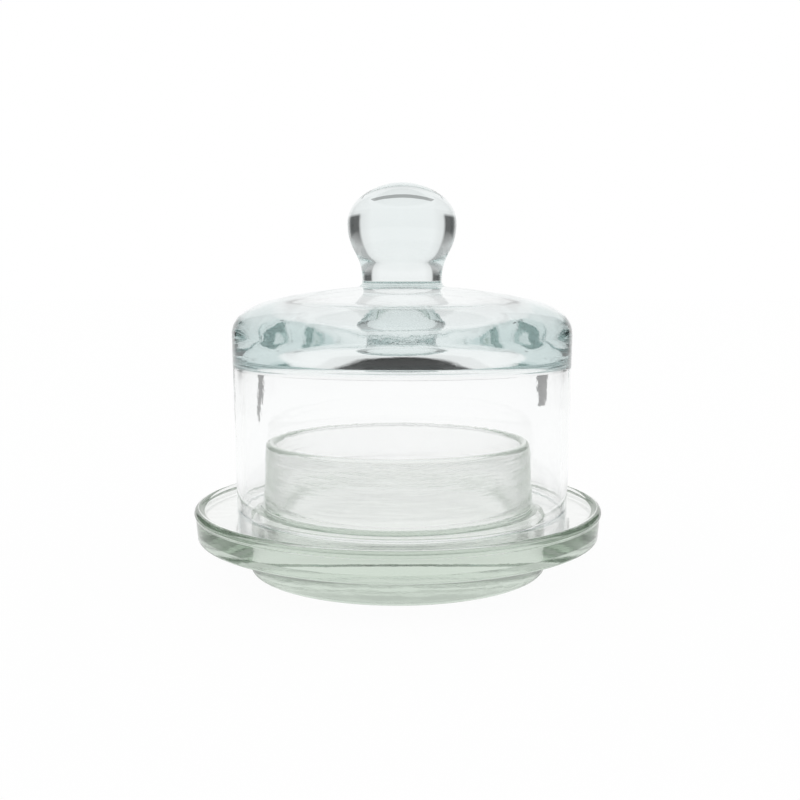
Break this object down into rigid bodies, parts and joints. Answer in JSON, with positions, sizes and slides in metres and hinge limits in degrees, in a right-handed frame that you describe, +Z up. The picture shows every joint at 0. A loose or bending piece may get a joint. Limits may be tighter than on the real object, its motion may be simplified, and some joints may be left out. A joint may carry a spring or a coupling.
{
  "type": "covered glass jam dish",
  "caption": "Footed clear glass dish with a central cup for jam, under a loose clear glass dome with a solid round knob.",
  "frame": {"origin": "centre of the foot's flat underside, on the dish's axis", "axes": "+Z up along the dish's axis, towards the dome's knob; -Y towards the front, where the dome is seen a little to the +X side"},
  "size_m": [0.12, 0.12, 0.1128],
  "materials": {
    "dish_glass": "clear, pale green",
    "dome_glass": "clear, pale blue-green"
  },
  "bodies": {
    "root": {"dish": "dish_glass", "dome": "dome_glass"}
  },
  "joints": []
}
